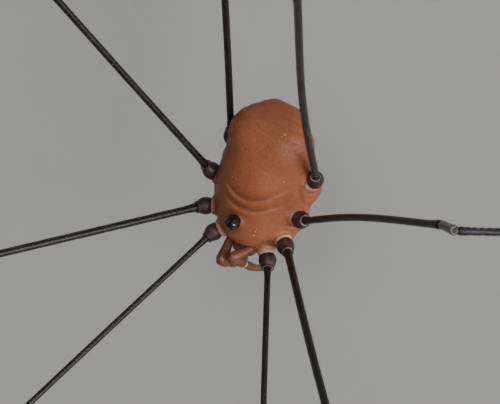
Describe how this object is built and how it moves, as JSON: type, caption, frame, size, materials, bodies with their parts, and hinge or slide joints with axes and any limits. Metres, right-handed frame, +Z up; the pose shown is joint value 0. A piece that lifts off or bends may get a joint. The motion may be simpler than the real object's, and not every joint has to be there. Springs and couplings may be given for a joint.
{
  "type": "harvestman",
  "caption": "Life-size harvestman standing on long bent legs, with an oval orange-brown body, a dark eye knob on its back and folded mouth feelers",
  "frame": {"origin": "on the floor, under the middle of the animal's outer box with its legs as posed", "axes": "+Z up, the animal faces -Y, +X is its left side"},
  "size_m": [0.0698, 0.0598, 0.0204],
  "materials": {
    "cuticle": "satin, finely granular",
    "mouthparts": "satin",
    "ocularium": "semi-gloss",
    "eye": "wet gloss",
    "leg_dark": "satin, rough with tiny spines",
    "leg_joint": "satin",
    "leg_slate": "satin"
  },
  "bodies": {
    "root": {"prosoma": "cuticle", "abdomen": "cuticle", "ocularium": "ocularium", "eye_left": "eye", "chelicera_left": "mouthparts", "palp_left_femur": "mouthparts", "palp_left_tibia": "mouthparts", "palp_left_tarsus": "mouthparts", "eye_right": "eye", "chelicera_right": "mouthparts", "palp_right_femur": "mouthparts", "palp_right_tibia": "mouthparts", "palp_right_tarsus": "mouthparts", "leg_left_1_femur": "leg_dark", "leg_left_1_patella": "leg_joint", "leg_left_1_tibia": "leg_slate", "leg_left_1_metatarsus": "leg_slate", "leg_left_1_tarsus": "leg_slate", "leg_left_2_femur": "leg_dark", "leg_left_2_patella": "leg_joint", "leg_left_2_tibia": "leg_slate", "leg_left_2_metatarsus": "leg_slate", "leg_left_2_tarsus": "leg_slate", "leg_left_3_femur": "leg_dark", "leg_left_3_patella": "leg_joint", "leg_left_3_tibia": "leg_slate", "leg_left_3_metatarsus": "leg_slate", "leg_left_3_tarsus": "leg_slate", "leg_left_4_femur": "leg_dark", "leg_left_4_patella": "leg_joint", "leg_left_4_tibia": "leg_slate", "leg_left_4_metatarsus": "leg_slate", "leg_left_4_tarsus": "leg_slate", "leg_right_1_femur": "leg_dark", "leg_right_1_patella": "leg_joint", "leg_right_1_tibia": "leg_slate", "leg_right_1_metatarsus": "leg_slate", "leg_right_1_tarsus": "leg_slate", "leg_right_2_femur": "leg_dark", "leg_right_2_patella": "leg_joint", "leg_right_2_tibia": "leg_slate", "leg_right_2_metatarsus": "leg_slate", "leg_right_2_tarsus": "leg_slate", "leg_right_3_femur": "leg_dark", "leg_right_3_patella": "leg_joint", "leg_right_3_tibia": "leg_slate", "leg_right_3_metatarsus": "leg_slate", "leg_right_3_tarsus": "leg_slate", "leg_right_4_femur": "leg_dark", "leg_right_4_patella": "leg_joint", "leg_right_4_tibia": "leg_slate", "leg_right_4_metatarsus": "leg_slate", "leg_right_4_tarsus": "leg_slate"}
  },
  "joints": []
}
